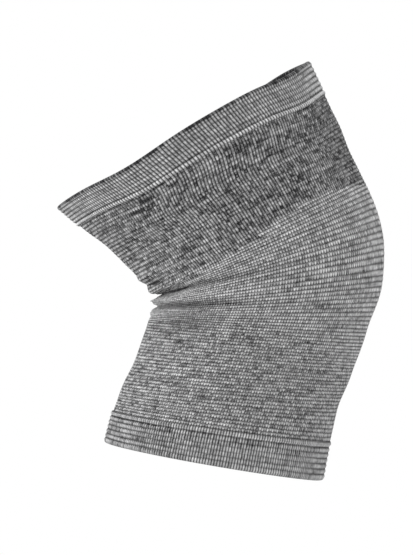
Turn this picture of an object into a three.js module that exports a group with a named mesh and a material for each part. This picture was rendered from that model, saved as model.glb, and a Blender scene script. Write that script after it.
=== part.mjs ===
// A knitted knee sleeve in the shape that it has on a bent knee: two hem bands and the tube between.
// Millimetres. The origin is the middle of the knee, +X points to the kneecap, +Z up the thigh.
import * as THREE from 'three';

// How far the hems lie above and below the middle of the knee
const frontThighRise = 118.5;
const backThighRise = 40;
const frontCalfDrop = 107.5;
const backCalfDrop = 87;

// How far the middle of each hem lies behind the middle of the knee
const thighSetback = 46;
const calfSetback = 29.4;

// Front to back, measured along the knitted rows
const thighDepth = 156.5;
const kneeDepth = 127.5;
const shinDepth = 116.5;
const calfDepth = 118.8;

// Side to side
const thighWidth = 148;
const kneeWidth = 118;
const shinWidth = 110;
const calfWidth = 113;

// Fabric
const bodyWall = 1.8;
const weltWall = 2.8;
const thighWeltHeight = 18;
const calfWeltHeight = 19.5;
const seamGap = 0.3;

// Folds and waves
const foldHeight = 2.6;
const hemWaveHeight = 3;
const hemWaveReach = 0.3; // share of the sleeve's rows that the hem's wave runs down
const fadeStart = 0.3; // share of its way after which a fold or wave begins to fade

// Facets
const facetsRound = 48;
const weltRows = 4;
const thighRows = 11;
const foldRows = 19;
const calfRows = 8;

// The sleeve's outline, one line for each knitted row that matters. row is the share of the rows from
// the thigh hem to the calf hem. front and back are heights: shares of the rises, or of the drops where
// they are below 0. lean is a share of the thigh's setback, or of the calf's where front is below 0.
// A row is round as share tells, between the sizes that from and to name.
const outline = [
  { row: 0.00, front: 1.00, back: 1.00, lean: 1.00, from: 'knee', to: 'thigh', share: 1.00 },
  { row: 0.09, front: 0.85, back: 0.75, lean: 0.78, from: 'knee', to: 'thigh', share: 0.77 },
  { row: 0.23, front: 0.63, back: 0.32, lean: 0.41, from: 'knee', to: 'thigh', share: 0.35 },
  { row: 0.33, front: 0.48, back: -0.02, lean: 0.18, from: 'knee', to: 'thigh', share: 0.11 },
  { row: 0.37, front: 0.41, back: -0.08, lean: 0.08, from: 'knee', to: 'thigh', share: 0.03 },
  { row: 0.46, front: 0.16, back: -0.12, lean: -0.02, from: 'knee', to: 'thigh', share: 0.00 },
  { row: 0.51, front: 0.00, back: -0.155, lean: 0.00, from: 'knee', to: 'shin', share: 0.25 },
  { row: 0.60, front: -0.24, back: -0.23, lean: 0.17, from: 'knee', to: 'shin', share: 0.88 },
  { row: 0.71, front: -0.44, back: -0.44, lean: 0.42, from: 'knee', to: 'shin', share: 1.00 },
  { row: 0.83, front: -0.65, back: -0.68, lean: 0.70, from: 'shin', to: 'calf', share: 0.33 },
  { row: 0.90, front: -0.80, back: -0.80, lean: 0.85, from: 'shin', to: 'calf', share: 0.56 },
  { row: 1.00, front: -1.00, back: -1.00, lean: 1.00, from: 'shin', to: 'calf', share: 1.00 },
];

// Folds that fan out from the back of the knee: the row they start on at the back, how many rows
// they drift to their far end, how far round they run as a share of half a turn, their height as a
// share of foldHeight (creases are below 0), and how many rows they are broad
const kneeFolds = [
  { row: 0.310, drift: 0.01, sweep: 0.35, height: 0.45, breadth: 0.013 },
  { row: 0.356, drift: 0.02, sweep: 0.42, height: 0.70, breadth: 0.014 },
  { row: 0.400, drift: 0.07, sweep: 0.66, height: -0.95, breadth: 0.014 },
  { row: 0.455, drift: 0.05, sweep: 0.60, height: 0.75, breadth: 0.020 },
  { row: 0.515, drift: 0.02, sweep: 0.72, height: -0.85, breadth: 0.014 },
  { row: 0.560, drift: 0.00, sweep: 0.45, height: 0.35, breadth: 0.020 },
];

// The thigh hem's wave: where round the sleeve each swell or dip lies (0 is the kneecap, a quarter
// the far side), its height as a share of hemWaveHeight, and its breadth, both as shares of a turn
const hemWaves = [
  { turn: 0.11, height: 1.10, breadth: 0.070 },
  { turn: 0.22, height: 0.60, breadth: 0.060 },
  { turn: 0.68, height: -0.90, breadth: 0.055 },
  { turn: 0.90, height: -0.75, breadth: 0.045 },
];

// Rows between which the folds lie, so the rows are close together there
const foldsStart = 0.29;
const foldsEnd = 0.60;

const sizes = {
  thigh: { depth: thighDepth, width: thighWidth },
  knee: { depth: kneeDepth, width: kneeWidth },
  shin: { depth: shinDepth, width: shinWidth },
  calf: { depth: calfDepth, width: calfWidth },
};

const kneeTaper = 0.05; // how much narrower a row is toward the kneecap

const { lerp, clamp, smoothstep, euclideanModulo } = THREE.MathUtils;

// The outline's lines as lengths: heights of the front and back point, middle, depth and width
const frames = outline.map(({ row, front, back, lean, from, to, share }) => ({
  row,
  front: front * (front > 0 ? frontThighRise : frontCalfDrop),
  back: back * (back > 0 ? backThighRise : backCalfDrop),
  middle: -lean * (front > 0 ? thighSetback : calfSetback),
  depth: lerp(sizes[from].depth, sizes[to].depth, share),
  width: lerp(sizes[from].width, sizes[to].width, share),
}));

// The slope of one column at a line of the outline, level where the column turns back
function slopeAt(index, column) {
  const before = frames[Math.max(index - 1, 0)];
  const here = frames[index];
  const after = frames[Math.min(index + 1, frames.length - 1)];
  if (before === here) return (after[column] - here[column]) / (after.row - here.row);
  if (after === here) return (here[column] - before[column]) / (here.row - before.row);
  const slopeIn = (here[column] - before[column]) / (here.row - before.row);
  const slopeOut = (after[column] - here[column]) / (after.row - here.row);
  if (slopeIn * slopeOut <= 0) return 0;
  return (2 * slopeIn * slopeOut) / (slopeIn + slopeOut);
}

// One column of the outline at any row, on a smooth curve that never overshoots its lines
function along(row, column) {
  const found = frames.slice(1).findIndex((frame) => row <= frame.row);
  const index = found < 0 ? frames.length - 2 : found;
  const start = frames[index];
  const end = frames[index + 1];
  const length = end.row - start.row;
  const t = clamp((row - start.row) / length, 0, 1);
  const startSlope = slopeAt(index, column) * length;
  const endSlope = slopeAt(index + 1, column) * length;
  return (2 * t ** 3 - 3 * t ** 2 + 1) * start[column] + (t ** 3 - 2 * t ** 2 + t) * startSlope
    + (3 * t ** 2 - 2 * t ** 3) * end[column] + (t ** 3 - t ** 2) * endSlope;
}

// How far the folds lift or sink the fabric. Angle 0 is the kneecap, half a turn is the back.
function foldAt(row, angle) {
  const fromBack = Math.abs(Math.PI - angle) / Math.PI;
  let lift = 0;
  for (const fold of kneeFolds) {
    const way = fromBack / fold.sweep;
    const centre = fold.row + fold.drift * Math.min(way, 1);
    const fade = 1 - smoothstep(way, fadeStart, 1);
    lift += foldHeight * fold.height * fade * Math.exp(-(((row - centre) / fold.breadth) ** 2));
  }
  return lift;
}

// How far the thigh hem's wave lifts the fabric, fading out down the thigh
function waveAt(row, angle) {
  const fade = 1 - smoothstep(row / hemWaveReach, fadeStart, 1);
  let lift = 0;
  for (const wave of hemWaves) {
    const apart = euclideanModulo(angle / (2 * Math.PI) - wave.turn + 0.5, 1) - 0.5;
    lift += hemWaveHeight * wave.height * fade * Math.exp(-((apart / wave.breadth) ** 2));
  }
  return lift;
}

// A point of the fabric, on the row and at the angle given, so far out from the sleeve's inner face
function pointAt(row, angle, out) {
  const front = along(row, 'front');
  const back = along(row, 'back');
  const depth = along(row, 'depth');
  const tilt = Math.asin(clamp((front - back) / depth, -1, 1));
  const reach = out - bodyWall + foldAt(row, angle);
  const forward = (depth / 2 + reach) * Math.cos(angle);
  const sideways = (along(row, 'width') / 2 + reach) * Math.sin(angle);
  return new THREE.Vector3(
    along(row, 'middle') + forward * Math.cos(tilt),
    sideways * (1 - kneeTaper * Math.cos(angle)),
    (front + back) / 2 + forward * Math.sin(tilt) + waveAt(row, angle),
  );
}

const rowStep = 0.001;

// The row that lies so far down the sleeve's side from the row given; a height below 0 goes up
function rowAway(start, height) {
  const step = Math.sign(height) * rowStep;
  const side = Math.PI / 2;
  let row = start;
  let covered = 0;
  while (covered < Math.abs(height) && row + step >= 0 && row + step <= 1) {
    covered += pointAt(row, side, bodyWall).distanceTo(pointAt(row + step, side, bodyWall));
    row += step;
  }
  return row;
}

// Evenly spaced rows from one row to another, both among them
function rowsFrom(start, end, count) {
  return Array.from({ length: count + 1 }, (_, index) => lerp(start, end, index / count));
}

// A closed tube of fabric through the rows given: outer face, lower rim, inner face and upper rim
function tubeGeometry(rows, wall) {
  const rings = [
    ...rows.map((row) => ({ row, out: wall })),
    ...rows.toReversed().map((row) => ({ row, out: 0 })),
  ];
  const positions = rings.flatMap(({ row, out }) => (
    Array.from({ length: facetsRound }, (_, facet) => (
      pointAt(row, (2 * Math.PI * facet) / facetsRound, out).toArray()
    )).flat()
  ));
  const triangles = [];
  rings.forEach((_, ring) => {
    const below = (ring + 1) % rings.length;
    for (let facet = 0; facet < facetsRound; facet += 1) {
      const next = (facet + 1) % facetsRound;
      const corners = [ring, below].flatMap((at) => [at * facetsRound + facet, at * facetsRound + next]);
      triangles.push(corners[0], corners[2], corners[1], corners[1], corners[2], corners[3]);
    }
  });
  const geometry = new THREE.BufferGeometry();
  geometry.setAttribute('position', new THREE.Float32BufferAttribute(positions, 3));
  geometry.setIndex(triangles);
  geometry.computeVertexNormals();
  return geometry;
}

const bandRow = rowAway(0, thighWeltHeight);
const bodyTop = rowAway(bandRow, seamGap);
const lowBandRow = rowAway(1, -calfWeltHeight);
const bodyBottom = rowAway(lowBandRow, -seamGap);

const bodyKnit = new THREE.MeshStandardMaterial({ color: 0x7d7d7f, roughness: 0.95, metalness: 0 });
const weltKnit = new THREE.MeshStandardMaterial({ color: 0x86868a, roughness: 0.95, metalness: 0 });

function thighWelt() {
  const band = new THREE.Mesh(tubeGeometry(rowsFrom(0, bandRow, weltRows), weltWall), weltKnit);
  band.name = 'thigh_welt';
  return band;
}

function sleeveBody() {
  const rows = [
    ...rowsFrom(bodyTop, foldsStart, thighRows).slice(0, -1),
    ...rowsFrom(foldsStart, foldsEnd, foldRows),
    ...rowsFrom(foldsEnd, bodyBottom, calfRows).slice(1),
  ];
  const body = new THREE.Mesh(tubeGeometry(rows, bodyWall), bodyKnit);
  body.name = 'sleeve_body';
  return body;
}

function calfWelt() {
  const band = new THREE.Mesh(tubeGeometry(rowsFrom(lowBandRow, 1, weltRows), weltWall), weltKnit);
  band.name = 'calf_welt';
  return band;
}

const kneeSleeve = new THREE.Group();
kneeSleeve.add(thighWelt(), sleeveBody(), calfWelt());

export default kneeSleeve;
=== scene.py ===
import math

import bpy
import numpy as np
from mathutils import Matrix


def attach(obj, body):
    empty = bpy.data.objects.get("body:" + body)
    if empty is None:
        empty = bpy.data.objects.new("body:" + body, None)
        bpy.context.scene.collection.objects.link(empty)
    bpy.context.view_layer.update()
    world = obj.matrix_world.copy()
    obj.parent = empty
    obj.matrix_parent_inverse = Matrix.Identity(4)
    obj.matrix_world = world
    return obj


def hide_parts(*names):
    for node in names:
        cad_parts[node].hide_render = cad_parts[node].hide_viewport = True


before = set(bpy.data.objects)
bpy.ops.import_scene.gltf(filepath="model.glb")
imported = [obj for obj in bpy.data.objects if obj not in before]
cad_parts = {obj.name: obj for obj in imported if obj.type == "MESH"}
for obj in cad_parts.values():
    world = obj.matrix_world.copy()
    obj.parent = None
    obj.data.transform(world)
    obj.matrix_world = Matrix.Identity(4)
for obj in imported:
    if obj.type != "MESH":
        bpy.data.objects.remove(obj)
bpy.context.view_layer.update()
print("packed sleeve loaded:", ", ".join(sorted(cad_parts)))

# The sleeve's sizes in metres, the same ones that its solids were made from
sleeve = {
    "frontThighRise": 0.1185,
    "backThighRise": 0.040,
    "frontCalfDrop": 0.1075,
    "backCalfDrop": 0.087,
    "thighSetback": 0.046,
    "calfSetback": 0.0294,
    "depth": {"thigh": 0.1565, "knee": 0.1275, "shin": 0.1165, "calf": 0.1188},
    "width": {"thigh": 0.148, "knee": 0.118, "shin": 0.110, "calf": 0.113},
    "bodyWall": 0.0018,
    "weltWall": 0.0028,
    "thighWeltHeight": 0.018,
    "calfWeltHeight": 0.0195,
    "foldHeight": 0.0026,
    "hemWaveHeight": 0.003,
    "hemWaveReach": 0.3,
    "kneeTaper": 0.05,
    "fadeStart": 0.3,  # share of its way after which a fold or wave begins to fade
}

# row, front and back height, lean, and the two sizes that a share of the way lies between
outline = [
    (0.00, 1.00, 1.00, 1.00, "knee", "thigh", 1.00),
    (0.09, 0.85, 0.75, 0.78, "knee", "thigh", 0.77),
    (0.23, 0.63, 0.32, 0.41, "knee", "thigh", 0.35),
    (0.33, 0.48, -0.02, 0.18, "knee", "thigh", 0.11),
    (0.37, 0.41, -0.08, 0.08, "knee", "thigh", 0.03),
    (0.46, 0.16, -0.12, -0.02, "knee", "thigh", 0.00),
    (0.51, 0.00, -0.155, 0.00, "knee", "shin", 0.25),
    (0.60, -0.24, -0.23, 0.17, "knee", "shin", 0.88),
    (0.71, -0.44, -0.44, 0.42, "knee", "shin", 1.00),
    (0.83, -0.65, -0.68, 0.70, "shin", "calf", 0.33),
    (0.90, -0.80, -0.80, 0.85, "shin", "calf", 0.56),
    (1.00, -1.00, -1.00, 1.00, "shin", "calf", 1.00),
]

# Folds behind the knee: row, drift, sweep, height and breadth
kneeFolds = [
    (0.310, 0.01, 0.35, 0.45, 0.013),
    (0.356, 0.02, 0.42, 0.70, 0.014),
    (0.400, 0.07, 0.66, -0.95, 0.014),
    (0.455, 0.05, 0.60, 0.75, 0.020),
    (0.515, 0.02, 0.60, -0.80, 0.015),
    (0.560, 0.00, 0.45, 0.35, 0.020),
]

# Fine creases and ridges: row at the back, row further on, the turn where it gets there, the turns
# that it starts and ends at, lift in metres, breadth
fineCreases = [
    (0.405, 0.472, 0.14, 0.00, 0.31, -0.0011, 0.0075),
    (0.513, 0.531, 0.20, 0.00, 0.36, -0.0005, 0.0080),
    (0.445, 0.497, 0.13, 0.00, 0.20, 0.0007, 0.0120),
    (0.398, 0.410, 0.28, 0.17, 0.33, -0.0005, 0.0060),
    (0.470, 0.512, 0.11, 0.00, 0.16, -0.0006, 0.0055),
    (0.425, 0.455, 0.10, 0.00, 0.13, -0.0006, 0.0055),
    (0.378, 0.392, 0.12, 0.00, 0.15, -0.0007, 0.0060),
    (0.334, 0.345, 0.10, 0.00, 0.12, -0.0006, 0.0060),
    (0.300, 0.302, 0.10, 0.00, 0.10, -0.0004, 0.0070),
    (0.555, 0.560, 0.15, 0.00, 0.19, -0.0005, 0.0065),
    (0.592, 0.586, 0.15, 0.00, 0.15, -0.0004, 0.0070),
    (0.452, 0.448, 0.30, 0.20, 0.38, -0.0003, 0.0060),
    (0.500, 0.492, 0.30, 0.18, 0.36, -0.0003, 0.0060),
]

# The thigh hem's swells and dips: turn, height and breadth
hemWaves = [(0.11, 1.10, 0.070), (0.22, 0.60, 0.060), (0.68, -0.90, 0.055), (0.90, -0.75, 0.045)]

# Painted shade in patches behind the knee: how much, at which turn and row, with the breadth of each
kneeShadeSpots = [(0.80, 0.135, 0.06, 0.59, 0.055), (0.5, 0.13, 0.06, 0.495, 0.03)]

knit = {
    "wales": 248,  # upright columns of stitches round the sleeve
    "rowMarks": [0, 0.33, 0.71, 1],
    "courseMarks": [0, 30, 72, 102],  # rows of stitches down to each mark, closer over the knee
    "weltCourses": 7,
    "seamCourses": 1.15,  # from the groove of a band's seam to the band's edge
    "calfStagger": 0.25,  # how far every other wale is shifted below the knee
    "bandTwist": 1.1,  # wales that the top band is twisted forward on its near side
    "bodyTwist": 3.3,  # wales that the body below it is twisted back again
    "bodyTwistRows": 0.11,
}


def smoothStep(value, low, high):
    t = np.clip((value - low) / (high - low), 0, 1)
    return t * t * (3 - 2 * t)


def outlineFrames():
    frames = []
    for row, front, back, lean, low, high, share in outline:
        depths, widths = sleeve["depth"], sleeve["width"]
        frames.append([
            row,
            front * (sleeve["frontThighRise"] if front > 0 else sleeve["frontCalfDrop"]),
            back * (sleeve["backThighRise"] if back > 0 else sleeve["backCalfDrop"]),
            -lean * (sleeve["thighSetback"] if front > 0 else sleeve["calfSetback"]),
            depths[low] + (depths[high] - depths[low]) * share,
            widths[low] + (widths[high] - widths[low]) * share,
        ])
    return np.array(frames)


def sectionsAt(rows):
    # front height, back height, middle, depth and width at each row, on smooth curves
    frames = outlineFrames()
    x, y = frames[:, 0], frames[:, 1:]
    steps = np.diff(y, axis=0) / np.diff(x)[:, None]
    slopes = np.zeros_like(y)
    slopes[0], slopes[-1] = steps[0], steps[-1]
    before, after = steps[:-1], steps[1:]
    total = np.where(before + after == 0, 1, before + after)
    slopes[1:-1] = np.where(before * after > 0, 2 * before * after / total, 0)
    index = np.clip(np.searchsorted(x, rows, side="left") - 1, 0, len(x) - 2)
    span = (x[index + 1] - x[index])[:, None]
    t = np.clip((rows[:, None] - x[index][:, None]) / span, 0, 1)
    return (
        (2 * t**3 - 3 * t**2 + 1) * y[index]
        + (t**3 - 2 * t**2 + t) * slopes[index] * span
        + (3 * t**2 - 2 * t**3) * y[index + 1]
        + (t**3 - t**2) * slopes[index + 1] * span
    )


# A crease fades out from a share of its length on, and fades in over some turns round its start
creaseFade = {"share": 0.45, "before": 0.04, "after": 0.03}


def creaseLift(rows, angles):
    turn = np.abs(np.pi - angles) / (2 * np.pi)
    lift = 0
    for row, laterRow, reach, start, end, height, breadth in fineCreases:
        centre = row + (laterRow - row) * smoothStep(turn, 0, reach)
        fade = 1 - smoothStep(turn, start + (end - start) * creaseFade["share"], end)
        if start > 0:
            fade = fade * smoothStep(turn, start - creaseFade["before"], start + creaseFade["after"])
        lift = lift + height * fade * np.exp(-(((rows - centre) / breadth) ** 2))
    return lift


def foldLift(rows, angles):
    fromBack = np.abs(np.pi - angles) / np.pi
    lift = 0
    for row, drift, sweep, height, breadth in kneeFolds:
        way = fromBack / sweep
        centre = row + drift * np.minimum(way, 1)
        fade = 1 - smoothStep(way, sleeve["fadeStart"], 1)
        lift = lift + sleeve["foldHeight"] * height * fade * np.exp(-(((rows - centre) / breadth) ** 2))
    return lift


# painted shade in patches behind the knee, added to the fold shading
def kneeShade(rows, angles):
    turn = np.abs(np.pi - angles) / (2 * np.pi)
    dark = 0
    for strength, spotTurn, turns, row, breadth in kneeShadeSpots:
        dark = dark + strength * np.exp(-(((turn - spotTurn) / turns) ** 2) - ((rows - row) / breadth) ** 2)
    return dark


def hemLift(rows, angles):
    fade = 1 - smoothStep(rows / sleeve["hemWaveReach"], sleeve["fadeStart"], 1)
    lift = 0
    for turn, height, breadth in hemWaves:
        apart = (angles / (2 * np.pi) - turn + 0.5) % 1 - 0.5
        lift = lift + sleeve["hemWaveHeight"] * height * np.exp(-((apart / breadth) ** 2))
    return lift * fade


def fabricPoints(rows, angles, out):
    # rows and out hold one value for each ring, or a whole grid; angles one for each column
    ringRows = rows if rows.ndim == 1 else rows[:, 0]
    front, back, middle, depth, width = (column[:, None] for column in sectionsAt(ringRows).T)
    grid = ringRows[:, None]
    tilt = np.arcsin(np.clip((front - back) / depth, -1, 1))
    reach = out - sleeve["bodyWall"] + foldLift(grid, angles) + creaseLift(grid, angles)
    forward = (depth / 2 + reach) * np.cos(angles)
    sideways = (width / 2 + reach) * np.sin(angles) * (1 - sleeve["kneeTaper"] * np.cos(angles))
    x = middle + forward * np.cos(tilt)
    z = (front + back) / 2 + forward * np.sin(tilt) + hemLift(grid, angles)
    return np.stack([x, sideways, z], axis=-1)


rowStep = 0.001
stepsTried = 400


def rowAway(start, height):
    # the row that lies so far down the sleeve's side; a height below 0 goes up
    step = math.copysign(rowStep, height)
    rows = start + step * np.arange(stepsTried)
    rows = rows[(rows >= 0) & (rows <= 1)]
    side = fabricPoints(rows, np.array([[np.pi / 2]]), sleeve["bodyWall"])[:, 0]
    covered = np.concatenate([[0], np.cumsum(np.linalg.norm(np.diff(side, axis=0), axis=1))])
    return float(np.interp(abs(height), covered, rows))


thighBandRow = rowAway(0.0, sleeve["thighWeltHeight"])
calfBandRow = rowAway(1.0, -sleeve["calfWeltHeight"])


def knitSkew(rows):
    # how many wales the fabric is twisted at each row
    forward = knit["bandTwist"] * smoothStep(rows, 0, thighBandRow)
    backward = knit["bodyTwist"] * smoothStep(rows, thighBandRow, thighBandRow + knit["bodyTwistRows"])
    return forward - backward


def courseAt(row):
    return np.interp(row, knit["rowMarks"], knit["courseMarks"])


def rowOfCourse(course):
    return float(np.interp(course, knit["courseMarks"], knit["rowMarks"]))


# The knit's relief: heights in metres, the rest as shares of a stitch or in rows of stitches
stitchRelief = {
    "lean": 0.3,  # how far a stitch's edges lie below its middle
    "rowDip": 0.7,
    "body": 0.00036,
    "bodyMiddle": 0.6,
    "staggerRows": (0.56, 0.66),
    "uneven": 0.0003,
    "ribs": 0.00042,
    "ribsLessAtSides": 0.00032,
    "bricks": 0.00018,
    "bricksMoreAtSides": 0.00036,
    "sides": (0.08, 0.28),
    "groove": 0.00022,
    "grooveBreadth": 0.28,
    "bead": 0.00018,
    "beadRows": (0.2, 0.6),
}


def stitchDome(wale, course, stagger):
    # a stitch's height from 0 in its grooves to 1 on top
    odd = np.floor(wale) % 2
    across = np.abs(wale - np.floor(wale) - 0.5) * 2
    shifted = course + 0.5 * stagger * odd + stitchRelief["lean"] * across
    along = np.abs(shifted - np.floor(shifted) - 0.5) * 2
    return (1 - across**3) * (1 - stitchRelief["rowDip"] * along**3)


def meshFromRings(name, points, knitUv, bakeUv, innerRings, paintedShading):
    # points: rings x columns, closed both ways; the uv grids have one more column
    rings, columns = points.shape[:2]
    ring = np.arange(rings)[:, None]
    column = np.arange(columns)[None, :]
    nextRing = (ring + 1) % rings
    nextColumn = (column + 1) % columns
    corners = np.stack([
        ring * columns + column,
        nextRing * columns + column,
        nextRing * columns + nextColumn,
        ring * columns + nextColumn,
    ], axis=-1).reshape(-1, 4)
    mesh = bpy.data.meshes.new(name)
    mesh.vertices.add(rings * columns)
    mesh.vertices.foreach_set("co", points.reshape(-1).astype(np.float32))
    mesh.loops.add(corners.size)
    mesh.loops.foreach_set("vertex_index", corners.reshape(-1).astype(np.int32))
    mesh.polygons.add(len(corners))
    mesh.polygons.foreach_set("loop_start", np.arange(0, corners.size, 4, dtype=np.int32))
    mesh.polygons.foreach_set("use_smooth", np.ones(len(corners), dtype=bool))
    mesh.polygons.foreach_set("material_index", np.repeat(innerRings, columns).astype(np.int32))
    for layerName, uv in (("OFBake", bakeUv), ("knit", knitUv)):
        layer = mesh.uv_layers.new(name=layerName)
        flat = np.stack([uv[:-1, :-1], uv[1:, :-1], uv[1:, 1:], uv[:-1, 1:]], axis=2)
        layer.data.foreach_set("uv", flat.reshape(-1).astype(np.float32))
    hollows = mesh.attributes.new("paintedShading", "FLOAT", "POINT")
    hollows.data.foreach_set("value", paintedShading.reshape(-1).astype(np.float32))
    mesh.update()
    mesh.validate()
    piece = bpy.data.objects.new(name, mesh)
    bpy.context.scene.collection.objects.link(piece)
    return piece


bakeMap = {"margin": 0.002, "ringGap": 0.002}
# Painted shade in the creases and painted highlight on the fold ridges: the fold depth for full shade, and
# the lightest and darkest values
creaseShade = {"depth": 0.0026, "lightest": -0.5, "darkest": 0.65}
innerFaceDepth = 0.0007  # a ring that lies deeper than this belongs to the inner face


def closedTube(name, profile, columnsPerWale, relief):
    # profile lists (row, out, course, outer) round the wall, from the first hem down the outer face
    columns = knit["wales"] * columnsPerWale
    rows = np.array([entry[0] for entry in profile])
    out = np.array([entry[1] for entry in profile])[:, None]
    course = np.array([entry[2] for entry in profile])[:, None]
    outer = np.array([entry[3] for entry in profile])[:, None]
    turn = np.arange(columns + 1)[None, :] / columns
    wale = turn * knit["wales"] + np.zeros_like(course)
    angles = np.pi + 2 * np.pi * (turn + knitSkew(rows)[:, None] / knit["wales"])
    angles = angles % (2 * np.pi)
    lift = relief(wale, course, rows[:, None], angles) * outer
    points = fabricPoints(rows, angles[:, :-1], (out + lift)[:, :-1])
    # the bake map: the outer face fills the upper part, the inner face the rest
    margin, ringGap = bakeMap["margin"], bakeMap["ringGap"]
    length = np.concatenate([[0], np.cumsum(np.abs(np.diff(rows)) + ringGap)])
    length = np.append(length, length[-1] + ringGap) / (length[-1] + ringGap)
    bakeV = 1 - length[:, None]
    bakeUv = margin + (1 - 2 * margin) * np.stack(np.broadcast_arrays(turn, bakeV), axis=-1)
    knitUv = np.stack(np.broadcast_arrays(wale, course), axis=-1)
    knitUv = np.concatenate([knitUv, knitUv[:1]], axis=0)
    # painted shade in the creases and in patches behind the knee, painted highlight on the fold ridges, on
    # the outer face only
    folds = foldLift(rows[:, None], angles) + creaseLift(rows[:, None], angles)
    paintedShading = np.clip(-folds / creaseShade["depth"], creaseShade["lightest"], creaseShade["darkest"])
    paintedShading = np.minimum(paintedShading + kneeShade(rows[:, None], angles), 1)[:, :-1] * outer
    inner = (outer[:, 0] == 0) & (out[:, 0] < innerFaceDepth)
    return meshFromRings(name, points, knitUv, bakeUv, inner, paintedShading)


bandRings = {
    "hem": 6,
    "perCourse": 6,
    "seam": 4,
    "inner": 8,
    "columnsPerWale": 6,
    "hemCourses": 0.25,  # courses on the outer half of the rolled hem
    "seamTurn": 0.0014,  # how far the seam's edge turns in
    "seamCourse": 0.05,
}


def bandProfile(edgeRow, seamRow, courses):
    # a folded band: round at its hem, straight to the seam, where it turns in
    wall = sleeve["weltWall"]
    side = fabricPoints(np.array([edgeRow, seamRow]), np.array([[np.pi / 2]]), wall)[:, 0]
    perMetre = (seamRow - edgeRow) / np.linalg.norm(side[1] - side[0])
    hemRadius = wall * 0.5
    hemSteps, hemCourses = bandRings["hem"], bandRings["hemCourses"]
    profile = []
    for step in range(hemSteps + 1):  # over the hem, from the inner face to the outer
        a = np.pi * step / hemSteps
        row = edgeRow + perMetre * hemRadius * (1 - math.sin(a))
        course = -hemCourses + 2 * hemCourses * step / hemSteps
        profile.append((row, hemRadius - hemRadius * math.cos(a), course, step / hemSteps))
    samples = courses * bandRings["perCourse"]
    start = edgeRow + perMetre * hemRadius
    for step in range(1, samples):
        share = step / samples
        course = hemCourses + share * (courses - hemCourses)
        profile.append((start + (seamRow - start) * share, wall, course, 1))
    for step in range(bandRings["seam"]):  # the seam's edge turns in
        share = (step + 1) / bandRings["seam"]
        out = wall - bandRings["seamTurn"] * (1 - math.cos(0.5 * np.pi * share))
        course = courses + bandRings["seamCourse"] * step
        profile.append((seamRow, out, course, 1 - step / bandRings["seam"]))
    for step in range(bandRings["inner"]):  # the inner face, back to the hem
        share = step / bandRings["inner"]
        profile.append((seamRow + (start - seamRow) * share, 0, courses * (1 - share), 0))
    return profile


def sideShare(wale):
    # 0 at the front and back, 1 at the sides
    half = knit["wales"] / 2
    share = 1 - np.abs(2 * ((wale / half) % 1) - 1)
    return smoothStep(share, *stitchRelief["sides"])


def bandRelief(wale, course, rows, angles):
    side = sideShare(wale)
    rib = 0.5 - 0.5 * np.cos(2 * np.pi * course)
    seam = knit["weltCourses"] - knit["seamCourses"]
    beadStart, beadFull = stitchRelief["beadRows"]
    groove = np.exp(-(((course - seam) / stitchRelief["grooveBreadth"]) ** 2))
    bead = smoothStep(course, seam + beadStart, seam + beadFull)
    ribHeight = stitchRelief["ribs"] - stitchRelief["ribsLessAtSides"] * side
    brickHeight = stitchRelief["bricks"] + stitchRelief["bricksMoreAtSides"] * side
    ribs = ribHeight * (rib - 1)
    bricks = brickHeight * (stitchDome(wale, course, 0) - 1)
    return ribs + bricks - stitchRelief["groove"] * groove + stitchRelief["bead"] * bead


def bodyRelief(wale, course, rows, angles):
    stagger = knit["calfStagger"] * smoothStep(rows, *stitchRelief["staggerRows"])
    stitches = stitchRelief["body"] * (stitchDome(wale, course, stagger) - stitchRelief["bodyMiddle"])
    return stitches + stitchRelief["uneven"] * unevenness(rows, angles)


# Slow hills and hollows where the fabric lies over the leg: height, waves round and down, phase
hills = [(1, 3, 21, 0), (0.7, 5, -34, 1.3), (0.5, 9, 55, 4.1)]


def unevenness(rows, angles):
    height = 0
    for share, around, down, phase in hills:
        height = height + share * np.sin(around * angles + down * rows + phase)
    return height


bodyRings = {
    "inner": 22,
    "columnsPerWale": 2,
    "tuck": 0.006,  # rows that the body runs on inside each band
    "tuckFade": 0.002,
    "tuckDepth": 0.0004,
    "innerOut": 0.0002,
}


def bodyProfile():
    wall = sleeve["bodyWall"]
    start, end = thighBandRow - bodyRings["tuck"], calfBandRow + bodyRings["tuck"]
    upperSeam, lowerSeam = thighBandRow + bodyRings["tuckFade"], calfBandRow - bodyRings["tuckFade"]
    profile = []
    first = math.ceil(courseAt(start) * 2)
    last = math.floor(courseAt(end) * 2)
    for half in range(first, last + 1):
        row = rowOfCourse(half / 2)
        shown = smoothStep(row, start, upperSeam) * (1 - smoothStep(row, lowerSeam, end))
        tucked = 1 - float(shown)
        profile.append((row, wall - bodyRings["tuckDepth"] * tucked, half / 2, 1 - tucked))
    lowest, highest = profile[-1][0], profile[0][0]
    for step in range(bodyRings["inner"]):
        row = lowest + (highest - lowest) * step / (bodyRings["inner"] - 1)
        profile.append((row, bodyRings["innerOut"], float(courseAt(row)), 0))
    return profile


# The camera comes first: level with the knee, at the side of the leg
view = {"place": (-0.0332, -2.1, 0.0019), "pixel": 0.00054, "pictureHeight": 555, "sensor": 36}
cameraData = bpy.data.cameras.new("sideCamera")
cameraData.sensor_width = view["sensor"]
cameraData.lens = view["sensor"] * abs(view["place"][1]) / (view["pixel"] * view["pictureHeight"])
camera = bpy.data.objects.new("sideCamera", cameraData)
camera.location = view["place"]
camera.rotation_euler = (math.pi / 2, 0, 0)
bpy.context.scene.collection.objects.link(camera)
bpy.context.scene.camera = camera

thighProfile = bandProfile(0.0, thighBandRow, knit["weltCourses"])
calfProfile = bandProfile(1.0, calfBandRow, knit["weltCourses"])
body = closedTube("sleeve_body_knit", bodyProfile(), bodyRings["columnsPerWale"], bodyRelief)
thighBand = closedTube("thigh_welt_knit", thighProfile, bandRings["columnsPerWale"], bandRelief)
calfBand = closedTube("calf_welt_knit", calfProfile, bandRings["columnsPerWale"], bandRelief)
for piece, node in ((body, "sleeve_body"), (thighBand, "thigh_welt"), (calfBand, "calf_welt")):
    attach(piece, "root")
    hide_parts(node)
    print(piece.name, "has", len(piece.data.polygons) * 2, "triangles")


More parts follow.
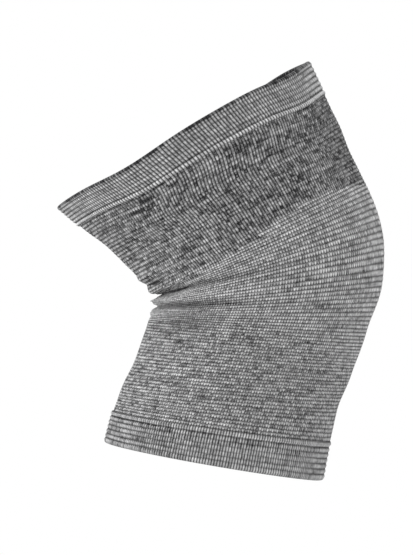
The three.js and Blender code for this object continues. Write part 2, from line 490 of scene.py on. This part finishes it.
def mathNode(tree, operation, *values):
    node = tree.nodes.new("ShaderNodeMath")
    node.operation = operation
    for socket, value in zip(node.inputs, values):
        if isinstance(value, (int, float)):
            socket.default_value = value
        else:
            tree.links.new(value, socket)
    return node.outputs[0]


def newGroup(name, inputs, outputs):
    tree = bpy.data.node_groups.new(name, "ShaderNodeTree")
    for label, kind, value in inputs:
        socket = tree.interface.new_socket(label, in_out="INPUT", socket_type=kind)
        if value is not None:
            socket.default_value = value
    for label, kind in outputs:
        tree.interface.new_socket(label, in_out="OUTPUT", socket_type=kind)
    return tree, tree.nodes.new("NodeGroupInput"), tree.nodes.new("NodeGroupOutput")


# The powers that round a stitch off toward its grooves
stitchCurve = {"wale": 1.7, "course": 2.0}

# For each noise how the knit map is stretched, its scale and its detail
yarnNoise = {
    "fibre": ((1.0, 0.45, 1.0), 2.4, 3.0),
    "streak": ((0.09, 1.1, 1.0), 1.0, 2.0),
    "roughness": 0.7,
}


def stitchGroup():
    # one stitch from the knit map: its height and its own random values
    tree, source, result = newGroup(
        "knitStitch",
        [("Knit Map", "NodeSocketVector", None), ("Stagger", "NodeSocketFloat", 0.0),
         ("Slant", "NodeSocketFloat", 0.35), ("Wale Depth", "NodeSocketFloat", 0.8),
         ("Course Depth", "NodeSocketFloat", 0.6)],
        [("Height", "NodeSocketFloat"), ("Stitch Random", "NodeSocketFloat"), ("Fibre", "NodeSocketFloat"),
         ("Streak", "NodeSocketFloat")],
    )
    knitMap = source.outputs["Knit Map"]
    parts = tree.nodes.new("ShaderNodeSeparateXYZ")
    tree.links.new(knitMap, parts.inputs[0])
    wale, course = parts.outputs[0], parts.outputs[1]
    waleId = mathNode(tree, "FLOOR", wale)
    odd = mathNode(tree, "MODULO", waleId, 2.0)
    offCentre = mathNode(tree, "SUBTRACT", mathNode(tree, "FRACT", wale), 0.5)
    across = mathNode(tree, "MULTIPLY", mathNode(tree, "ABSOLUTE", offCentre), 2.0)
    shift = mathNode(tree, "MULTIPLY", mathNode(tree, "MULTIPLY", odd, source.outputs["Stagger"]), 0.5)
    shifted = mathNode(tree, "ADD", course, shift)
    slanted = mathNode(tree, "MULTIPLY_ADD", across, source.outputs["Slant"], shifted)
    courseId = mathNode(tree, "FLOOR", slanted)
    offRow = mathNode(tree, "SUBTRACT", mathNode(tree, "FRACT", slanted), 0.5)
    along = mathNode(tree, "MULTIPLY", mathNode(tree, "ABSOLUTE", offRow), 2.0)
    waleShape = mathNode(tree, "POWER", across, stitchCurve["wale"])
    waleDip = mathNode(tree, "MULTIPLY", waleShape, source.outputs["Wale Depth"])
    rowShape = mathNode(tree, "POWER", along, stitchCurve["course"])
    rowDip = mathNode(tree, "MULTIPLY", rowShape, source.outputs["Course Depth"])
    # the stitch's height, 0 in its grooves: it drives the bump and also darkens the yarn as painted shade
    height = mathNode(tree, "MULTIPLY", mathNode(tree, "SUBTRACT", 1.0, waleDip),
                      mathNode(tree, "SUBTRACT", 1.0, rowDip))
    key = tree.nodes.new("ShaderNodeCombineXYZ")
    tree.links.new(waleId, key.inputs[0])
    tree.links.new(courseId, key.inputs[1])
    chance = tree.nodes.new("ShaderNodeTexWhiteNoise")
    chance.noise_dimensions = "2D"
    tree.links.new(key.outputs[0], chance.inputs["Vector"])
    noises = []
    for stretch, scale, detail in (yarnNoise["fibre"], yarnNoise["streak"]):
        stretched = tree.nodes.new("ShaderNodeVectorMath")
        stretched.operation = "MULTIPLY"
        stretched.inputs[1].default_value = stretch
        tree.links.new(knitMap, stretched.inputs[0])
        noise = tree.nodes.new("ShaderNodeTexNoise")
        noise.noise_dimensions = "2D"
        noise.inputs["Scale"].default_value = scale
        noise.inputs["Detail"].default_value = detail
        noise.inputs["Roughness"].default_value = yarnNoise["roughness"]
        tree.links.new(stretched.outputs[0], noise.inputs["Vector"])
        noises.append(noise.outputs[0])
    for label, value in (("Height", height), ("Stitch Random", chance.outputs["Value"]),
                         ("Fibre", noises[0]), ("Streak", noises[1])):
        tree.links.new(value, result.inputs[label])
    return tree


# How much each stitch, the fibres and the streaks change the yarn, and how strongly the painted shade
# darkens the creases and the painted highlight lightens the fold ridges
yarnMix = {"stitch": 0.55, "fibre": 1.45, "streak": 1.1, "crease": 0.55}


def melangeGroup():
    # grey yarn spun from dark and light fibres, with painted shade in the stitch grooves and the creases
    tree, source, result = newGroup(
        "melangeYarn",
        [("Dark Fibre", "NodeSocketColor", (0.03, 0.03, 0.031, 1)),
         ("Light Fibre", "NodeSocketColor", (0.5, 0.5, 0.5, 1)),
         ("Balance", "NodeSocketFloat", 0.5), ("Spread", "NodeSocketFloat", 0.8),
         ("Stitch Random", "NodeSocketFloat", 0.5), ("Fibre", "NodeSocketFloat", 0.5),
         ("Streak", "NodeSocketFloat", 0.5), ("Height", "NodeSocketFloat", 1.0),
         ("Painted Shading", "NodeSocketFloat", 0.0)],
        [("Color", "NodeSocketColor")],
    )
    chance = mathNode(tree, "SUBTRACT", source.outputs["Stitch Random"], 0.5)
    fuzz = mathNode(tree, "SUBTRACT", source.outputs["Fibre"], 0.5)
    streak = mathNode(tree, "SUBTRACT", source.outputs["Streak"], 0.5)
    fuzzPart = mathNode(tree, "MULTIPLY", fuzz, yarnMix["fibre"])
    wander = mathNode(tree, "MULTIPLY_ADD", chance, yarnMix["stitch"], fuzzPart)
    wander = mathNode(tree, "MULTIPLY_ADD", streak, yarnMix["streak"], wander)
    share = mathNode(tree, "MULTIPLY_ADD", wander, source.outputs["Spread"], source.outputs["Balance"])
    share.node.use_clamp = True
    yarn = tree.nodes.new("ShaderNodeMix")
    yarn.data_type = "RGBA"
    tree.links.new(share, yarn.inputs["Factor"])
    tree.links.new(source.outputs["Dark Fibre"], yarn.inputs[6])
    tree.links.new(source.outputs["Light Fibre"], yarn.inputs[7])
    # the painted shade darkens the creases and the patches behind the knee, the painted highlight lightens
    # the fold ridges
    paintedShadeFactor = mathNode(tree, "MULTIPLY_ADD", source.outputs["Painted Shading"], -yarnMix["crease"], 1.0)
    # painted shade: the yarn darkens toward the stitch grooves by the stitch's height
    shade = mathNode(tree, "MULTIPLY", source.outputs["Height"], paintedShadeFactor)
    shaded = tree.nodes.new("ShaderNodeVectorMath")
    shaded.operation = "SCALE"
    tree.links.new(yarn.outputs[2], shaded.inputs[0])
    tree.links.new(shade, shaded.inputs["Scale"])
    tree.links.new(shaded.outputs[0], result.inputs["Color"])
    return tree


def blendNode(tree, factor, low, high):
    # low where factor is 0, high where it is 1; either may be a number or another node's output
    node = tree.nodes.new("ShaderNodeMix")
    node.data_type = "FLOAT"
    tree.links.new(factor, node.inputs[0])
    for socket, value in ((node.inputs[2], low), (node.inputs[3], high)):
        if isinstance(value, (int, float)):
            socket.default_value = value
        else:
            tree.links.new(value, socket)
    return node.outputs[0]


def rampNode(tree, value, low, high):
    node = tree.nodes.new("ShaderNodeMapRange")
    node.interpolation_type = "SMOOTHSTEP"
    tree.links.new(value, node.inputs["Value"])
    node.inputs["From Min"].default_value = low
    node.inputs["From Max"].default_value = high
    return node.outputs[0]


def curveNode(tree, value, points):
    node = tree.nodes.new("ShaderNodeFloatCurve")
    curve = node.mapping.curves[0]
    curve.points[0].location = points[0]
    curve.points[-1].location = points[-1]
    for place in points[1:-1]:
        curve.points.new(*place)
    node.mapping.update()
    tree.links.new(value, node.inputs["Value"])
    return node.outputs[0]


def halfTurnNode(tree, wale):
    # 0 at the back of the sleeve, 1 at its front
    turn = mathNode(tree, "DIVIDE", wale, knit["wales"] / 2)
    return mathNode(tree, "SUBTRACT", 1.0, mathNode(tree, "ABSOLUTE", mathNode(tree, "SUBTRACT", turn, 1.0)))


zoneOutputs = [("Wale Depth", "NodeSocketFloat"), ("Course Depth", "NodeSocketFloat"),
               ("Stagger", "NodeSocketFloat"), ("Balance", "NodeSocketFloat")]

bodyZones = {
    "stepWales": 8.0,
    "backFade": (0.08, 0.42),
    "frontFade": (0.74, 0.94),
    "edgeRows": 0.007,
    "edgeLight": 0.12,
    "upperEdge": [(0, 0.43), (0.2, 0.41), (0.3, 0.388), (0.4, 0.37), (0.5, 0.355), (0.64, 0.332),
                  (0.72, 0.33), (0.82, 0.342), (1, 0.355)],
    "lowerEdge": [(0, 0.61), (0.28, 0.6), (0.42, 0.597), (0.5, 0.603), (0.57, 0.618), (0.63, 0.622),
                  (0.71, 0.655), (0.82, 0.693), (1, 0.72)],
    "thighBalance": (0.31, 0.30, 0.23),  # at the back, the side and the front
    "kneeBalance": (0.60, 0.56, 0.58),
    "calfBalance": (0.34, 0.46, 0.46),
    "thighWale": (0.5, 1.0),
    "kneeWale": (0.35, 0.75),
    "calfWale": (0.2, 0.7),
    "thighCourse": (0.95, 0.42),
    "lowerCourse": (0.95, 0.88),
}


def bodyZoneGroup():
    # the dark thigh, the lighter wedge over the kneecap with stepped edges, the calf
    tree, source, result = newGroup("bodyZones", [("Knit Map", "NodeSocketVector", None)], zoneOutputs)
    parts = tree.nodes.new("ShaderNodeSeparateXYZ")
    tree.links.new(source.outputs["Knit Map"], parts.inputs[0])
    wale, course = parts.outputs[0], parts.outputs[1]
    step = bodyZones["stepWales"]
    stepped = mathNode(tree, "FLOOR", mathNode(tree, "DIVIDE", wale, step))
    stepped = mathNode(tree, "MULTIPLY_ADD", stepped, step, step / 2)
    forward = halfTurnNode(tree, stepped)
    allCourses = knit["courseMarks"][-1]
    row = mathNode(tree, "DIVIDE", course, allCourses)
    edges = []
    for name in ("upperEdge", "lowerEdge"):
        places = [(x, float(courseAt(y)) / allCourses) for x, y in bodyZones[name]]
        edges.append(curveNode(tree, forward, places))
    upper, lower = edges
    belowUpper = mathNode(tree, "GREATER_THAN", row, upper)
    belowLower = mathNode(tree, "GREATER_THAN", row, lower)
    smooth = halfTurnNode(tree, wale)
    fromBack = rampNode(tree, smooth, *bodyZones["backFade"])
    toFront = rampNode(tree, smooth, *bodyZones["frontFade"])
    middle = mathNode(tree, "MULTIPLY", fromBack, mathNode(tree, "SUBTRACT", 1.0, toFront))
    wales = []
    for name in ("thighWale", "kneeWale", "calfWale"):
        wales.append(blendNode(tree, middle, *bodyZones[name]))
    waleDepth = blendNode(tree, belowLower, blendNode(tree, belowUpper, wales[0], wales[1]), wales[2])
    thighCourse = blendNode(tree, middle, *bodyZones["thighCourse"])
    lowerCourse = blendNode(tree, middle, *bodyZones["lowerCourse"])
    courseDepth = blendNode(tree, belowUpper, thighCourse, lowerCourse)
    balances = []
    for name in ("thighBalance", "kneeBalance", "calfBalance"):
        back, side, front = bodyZones[name]
        balances.append(blendNode(tree, toFront, blendNode(tree, fromBack, back, side), front))
    balance = blendNode(tree, belowUpper, balances[0], balances[1])
    balance = blendNode(tree, belowLower, balance, balances[2])
    fromEdge = mathNode(tree, "ABSOLUTE", mathNode(tree, "SUBTRACT", row, upper))
    edge = mathNode(tree, "LESS_THAN", fromEdge, bodyZones["edgeRows"])
    balance = mathNode(tree, "MULTIPLY_ADD", edge, bodyZones["edgeLight"], balance)
    stagger = mathNode(tree, "MULTIPLY", belowLower, knit["calfStagger"])
    for label, value in zip(("Wale Depth", "Course Depth", "Stagger", "Balance"),
                            (waleDepth, courseDepth, stagger, balance)):
        tree.links.new(value, result.inputs[label])
    return tree


bandZones = {
    "balance": 0.50,
    "wale": (0.4, 1.0),
    "course": (0.95, 0.55),
    "backFade": (0.08, 0.24),
    "calfBackFade": (0.2, 0.38),
    "frontFade": (0.78, 0.92),
    "balanceFade": (0.28, 0.5),
    "groove": (0, 0.3),  # courses below the seam, and its breadth
    "lowerGroove": (0.62, 0.14),
    "lowerGrooveShare": 0.8,
    "grooveCore": 0.04,
    "beadRows": (0.2, 0.4),
    "tickWidth": 0.36,
    "tickPlace": 0.9,
    "tickHeight": 0.75,
    "hemRows": (0.3, 0.6),
    "seamDark": 0.2,
    # painted shade along the rolled hem's top courses
    "hemPaintedShade": 0.42,
    "beadLight": 0.30,
    "ladderDark": 0.2,
    "calfBeadFade": 0.5,  # how much fainter the seam's light beads are on the calf band
}


def bandZoneGroup():
    # ribs along the hem at the front and back, a grid of bricks at the sides, a beaded seam
    tree, source, result = newGroup(
        "bandZones",
        [("Knit Map", "NodeSocketVector", None), ("Ladder", "NodeSocketFloat", 0.0),
         ("Hem Shade", "NodeSocketFloat", 0.0), ("Back Balance", "NodeSocketFloat", 0.42),
         ("Front Balance", "NodeSocketFloat", 0.42)],
        zoneOutputs,
    )
    parts = tree.nodes.new("ShaderNodeSeparateXYZ")
    tree.links.new(source.outputs["Knit Map"], parts.inputs[0])
    wale, course = parts.outputs[0], parts.outputs[1]
    smooth = halfTurnNode(tree, wale)
    fromBack = blendNode(tree, source.outputs["Ladder"], rampNode(tree, smooth, *bandZones["backFade"]),
                         rampNode(tree, smooth, *bandZones["calfBackFade"]))
    toFront = rampNode(tree, smooth, *bandZones["frontFade"])
    middle = mathNode(tree, "MULTIPLY", fromBack, mathNode(tree, "SUBTRACT", 1.0, toFront))
    seam = knit["weltCourses"] - knit["seamCourses"]
    grooves = []
    for place, breadth in (bandZones["groove"], bandZones["lowerGroove"]):
        fromLine = mathNode(tree, "ABSOLUTE", mathNode(tree, "SUBTRACT", course, seam + place))
        outside = rampNode(tree, fromLine, bandZones["grooveCore"], breadth)
        grooves.append(mathNode(tree, "SUBTRACT", 1.0, outside))
    groove = mathNode(tree, "MULTIPLY_ADD", grooves[1], bandZones["lowerGrooveShare"], grooves[0])
    beadStart, beadFull = bandZones["beadRows"]
    bead = rampNode(tree, course, seam + beadStart, seam + beadFull)
    beadShown = mathNode(tree, "MULTIPLY_ADD", source.outputs["Ladder"], -bandZones["calfBeadFade"], 1.0)
    bead = mathNode(tree, "MULTIPLY", bead, beadShown)
    tick = mathNode(tree, "LESS_THAN", mathNode(tree, "PINGPONG", wale, 1.0), bandZones["tickWidth"])
    fromTicks = mathNode(tree, "SUBTRACT", course, seam - bandZones["tickPlace"])
    tickRows = mathNode(tree, "LESS_THAN", mathNode(tree, "ABSOLUTE", fromTicks), bandZones["tickHeight"])
    ladder = mathNode(tree, "MULTIPLY", mathNode(tree, "MULTIPLY", tick, tickRows),
                      mathNode(tree, "MULTIPLY", middle, source.outputs["Ladder"]))
    away = rampNode(tree, smooth, *bandZones["balanceFade"])
    balance = blendNode(tree, away, source.outputs["Back Balance"], bandZones["balance"])
    balance = blendNode(tree, toFront, balance, source.outputs["Front Balance"])
    balance = mathNode(tree, "MULTIPLY_ADD", groove, -bandZones["seamDark"], balance)
    balance = mathNode(tree, "MULTIPLY_ADD", bead, bandZones["beadLight"], balance)
    # a painted shade line along the hem's top courses, standing in for the shade on the rolled edge and the
    # sleeve's inside
    hem = mathNode(tree, "SUBTRACT", 1.0, rampNode(tree, course, *bandZones["hemRows"]))
    hemLine = mathNode(tree, "MULTIPLY", hem, source.outputs["Hem Shade"])
    balance = mathNode(tree, "MULTIPLY_ADD", hemLine, -bandZones["hemPaintedShade"], balance)
    balance = mathNode(tree, "MULTIPLY_ADD", ladder, -bandZones["ladderDark"], balance)
    waleDepth = blendNode(tree, middle, *bandZones["wale"])
    courseDepth = blendNode(tree, middle, *bandZones["course"])
    for label, value in zip(("Wale Depth", "Course Depth", "Balance"), (waleDepth, courseDepth, balance)):
        tree.links.new(value, result.inputs[label])
    return tree


knitStitch = stitchGroup()
melangeYarn = melangeGroup()


def addGroup(tree, group, links):
    node = tree.nodes.new("ShaderNodeGroup")
    node.node_tree = group
    for label, value in links.items():
        if isinstance(value, bpy.types.NodeSocket):
            tree.links.new(value, node.inputs[label])
        else:
            node.inputs[label].default_value = value
    return node


def knitMaterial(name, look, zones=None, zoneValues=()):
    material = bpy.data.materials.new(name)
    material.use_nodes = True
    tree = material.node_tree
    shader = tree.nodes["Principled BSDF"]
    shader.inputs["Roughness"].default_value = look["roughness"]
    shader.inputs["Specular IOR Level"].default_value = look["specular"]
    shader.inputs["Sheen Weight"].default_value = look["sheen"]
    shader.inputs["Sheen Roughness"].default_value = look["sheenRoughness"]
    uv = tree.nodes.new("ShaderNodeUVMap")
    uv.uv_map = "knit"
    # the painted shade and highlight of the folds, stored on the mesh
    paintedShading = tree.nodes.new("ShaderNodeAttribute")
    paintedShading.attribute_name = "paintedShading"
    knitMap = uv.outputs[0]
    area = {"Wale Depth": look["waleDepth"], "Course Depth": look["courseDepth"], "Stagger": 0.0,
            "Balance": look["balance"]}
    if zones:
        zoneNode = addGroup(tree, zones, {"Knit Map": knitMap, **dict(zoneValues)})
        area = {label: zoneNode.outputs[label] for label in area}
    stitch = addGroup(tree, knitStitch, {
        "Knit Map": knitMap, "Slant": look["slant"], "Stagger": area["Stagger"],
        "Wale Depth": area["Wale Depth"], "Course Depth": area["Course Depth"],
    })
    yarn = addGroup(tree, melangeYarn, {
        "Dark Fibre": look["dark"], "Light Fibre": look["light"], "Spread": look["spread"],
        "Balance": area["Balance"], "Stitch Random": stitch.outputs["Stitch Random"],
        "Fibre": stitch.outputs["Fibre"], "Streak": stitch.outputs["Streak"],
        "Height": stitch.outputs["Height"], "Painted Shading": paintedShading.outputs["Fac"],
    })
    tree.links.new(yarn.outputs[0], shader.inputs["Base Color"])
    bump = tree.nodes.new("ShaderNodeBump")
    bump.inputs["Strength"].default_value = 1.0
    bump.inputs["Distance"].default_value = look["bump"]
    tree.links.new(stitch.outputs["Height"], bump.inputs["Height"])
    tree.links.new(bump.outputs[0], shader.inputs["Normal"])
    return material


bodyLook = {
    "dark": (0.028, 0.028, 0.03, 1),
    "light": (0.90, 0.90, 0.905, 1),
    "balance": 0.4,
    "spread": 0.75,
    "waleDepth": 0.8,
    "courseDepth": 0.7,
    "slant": 0.3,
    "roughness": 0.92,
    "specular": 0.12,
    "sheen": 0.1,
    "sheenRoughness": 0.5,
    "bump": 0.0006,
}
bandLook = dict(bodyLook, spread=0.5, slant=0.15)
# The inner face gets a darker yarn without sheen: painted shade for the sleeve's inside
innerShadedLook = dict(bodyLook, balance=0.12, light=(0.4, 0.4, 0.41, 1), sheen=0.0)
innerShadedMaterial = knitMaterial("melangeInnerKnitShaded", innerShadedLook)
body.data.materials.append(knitMaterial("melangeBodyKnit", bodyLook, bodyZoneGroup()))
bandZoneNodes = bandZoneGroup()
thighBandLook = {"Ladder": 0.0, "Hem Shade": 1.0, "Back Balance": 0.48, "Front Balance": 0.60}
calfBandLook = {"Ladder": 1.0, "Hem Shade": 0.0, "Back Balance": 0.32, "Front Balance": 0.50}
thighBand.data.materials.append(knitMaterial("melangeThighBand", bandLook, bandZoneNodes, thighBandLook))
calfBand.data.materials.append(knitMaterial("melangeCalfBand", bandLook, bandZoneNodes, calfBandLook))
for piece in (body, thighBand, calfBand):
    piece.data.materials.append(innerShadedMaterial)
print("knit materials made")

# A pale floor well below the sleeve, a white surrounding and soft lights
studio = {
    "floorDrop": 0.32,
    "floorSize": 2.4,
    "floorColour": (0.86, 0.86, 0.86, 1),
    "floorRoughness": 0.9,
    "surroundings": 1.0,
    "rightSide": 0.4,
    "dimmerStart": 0.1,
    "lightSize": 0.8,
    "leftLight": ((-2.1, -0.1, 0.4), 25),  # place and power
    "topLight": ((0.2, -1.5, 1.0), 9),
}
bpy.ops.mesh.primitive_plane_add(size=studio["floorSize"], location=(0, 0, -studio["floorDrop"]))
floor = bpy.context.object
floor.name = "studioFloor"
floorMaterial = bpy.data.materials.new("palePaper")
floorMaterial.use_nodes = True
paper = floorMaterial.node_tree.nodes["Principled BSDF"]
paper.inputs["Base Color"].default_value = studio["floorColour"]
paper.inputs["Roughness"].default_value = studio["floorRoughness"]
floor.data.materials.append(floorMaterial)

world = bpy.data.worlds.new("whiteStudio")
bpy.context.scene.world = world
world.use_nodes = True
sky = world.node_tree
background = sky.nodes["Background"]
background.inputs["Color"].default_value = (1, 1, 1, 1)
around = sky.nodes.new("ShaderNodeTexCoord")
aroundParts = sky.nodes.new("ShaderNodeSeparateXYZ")
sky.links.new(around.outputs["Generated"], aroundParts.inputs[0])
dimmer = sky.nodes.new("ShaderNodeMapRange")
dimmer.inputs["From Min"].default_value = studio["dimmerStart"]
dimmer.inputs["From Max"].default_value = 1.0
dimmer.inputs["To Min"].default_value = studio["surroundings"]
dimmer.inputs["To Max"].default_value = studio["rightSide"]
sky.links.new(aroundParts.outputs[0], dimmer.inputs["Value"])
seen = sky.nodes.new("ShaderNodeLightPath")
strength = mathNode(sky, "MAXIMUM", dimmer.outputs[0], seen.outputs["Is Camera Ray"])
sky.links.new(strength, background.inputs["Strength"])


def softLight(name):
    # an area light that faces the sleeve
    place, power = studio[name]
    data = bpy.data.lights.new(name, "AREA")
    data.size = studio["lightSize"]
    data.energy = power
    lamp = bpy.data.objects.new(name, data)
    lamp.location = place
    direction = -np.array(place)
    lamp.rotation_euler = (
        math.acos(-direction[2] / np.linalg.norm(direction)),
        0,
        math.atan2(direction[1], direction[0]) - math.pi / 2,
    )
    bpy.context.scene.collection.objects.link(lamp)


softLight("leftLight")
softLight("topLight")
bpy.context.scene.view_settings.view_transform = "Standard"
print("studio ready")
